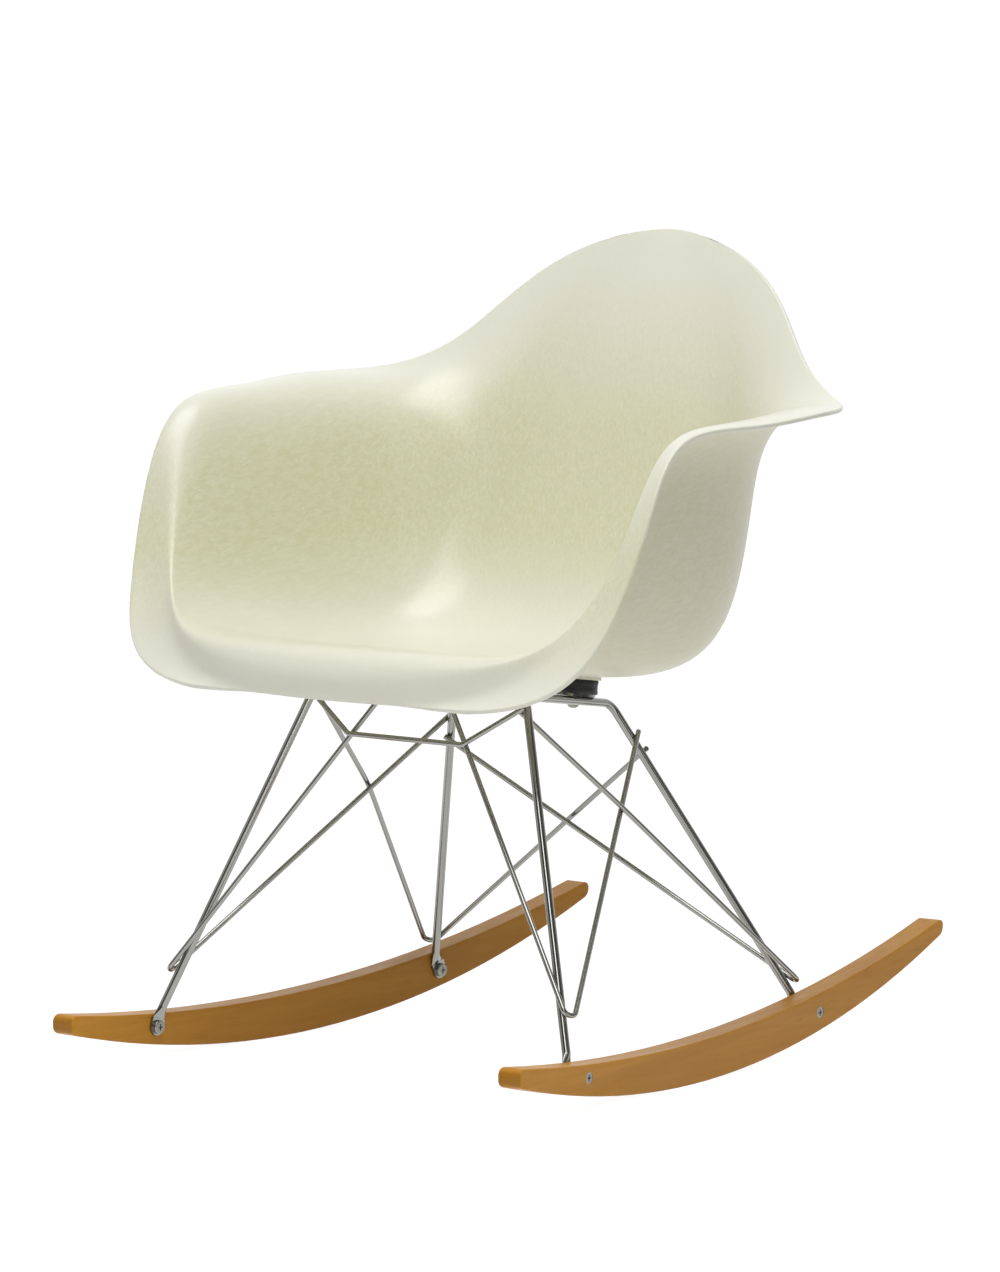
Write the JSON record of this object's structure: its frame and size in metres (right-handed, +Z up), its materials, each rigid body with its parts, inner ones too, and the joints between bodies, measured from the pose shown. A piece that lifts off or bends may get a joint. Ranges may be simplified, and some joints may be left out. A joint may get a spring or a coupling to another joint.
{
  "type": "rocking chair",
  "caption": "Rocking armchair with a one-piece moulded shell on rubber shock mounts, a bent-wire base with V braces and bent wooden rockers.",
  "frame": {"origin": "on the floor, midway between the rocker tips and between the two rockers", "axes": "+Z up, the front of the seat faces -Y, +X towards the right-hand rocker when seen from the front"},
  "size_m": [0.6268, 0.7168, 0.7528],
  "materials": {
    "shell": "glossy glass-fibre, parchment",
    "chrome": "bright",
    "maple": "satin lacquer",
    "rubber": "matt",
    "resin": "cast",
    "zinc": "zinc plated"
  },
  "bodies": {
    "base": {"front_brace_left": "chrome", "front_brace_right": "chrome", "front_cross_wire": "chrome", "front_hoop": "chrome", "mount_insert_front_left": "zinc", "mount_insert_front_right": "zinc", "mount_insert_rear_left": "zinc", "mount_insert_rear_right": "zinc", "mount_plate_front_left": "chrome", "mount_plate_front_right": "chrome", "mount_plate_rear_left": "chrome", "mount_plate_rear_right": "chrome", "mount_screws": "zinc", "mount_washers": "zinc", "rear_brace_left": "chrome", "rear_brace_right": "chrome", "rear_frame_left": "chrome", "rear_frame_right": "chrome", "rocker_left": "maple", "rocker_nuts": "zinc", "rocker_right": "maple", "rocker_screws": "zinc", "shock_mount_front_left": "rubber", "shock_mount_front_right": "rubber", "shock_mount_rear_left": "rubber", "shock_mount_rear_right": "rubber"},
    "shell": {"seat_shell": "shell", "mount_pad_front_left": "resin", "mount_pad_front_right": "resin", "mount_pad_rear_left": "resin", "mount_pad_rear_right": "resin"}
  },
  "joints": [
    {"name": "shell_flex", "type": "hinge", "parent": "base", "child": "shell", "pos_m": [0, -0.09, 0.356], "axis": [1, 0, 0], "range_deg": [-2.5, 2], "stiffness_Nm_per_rad": 1500, "deforming": ["shock_mount_front_left", "shock_mount_front_right", "shock_mount_rear_left", "shock_mount_rear_right"]}
  ]
}
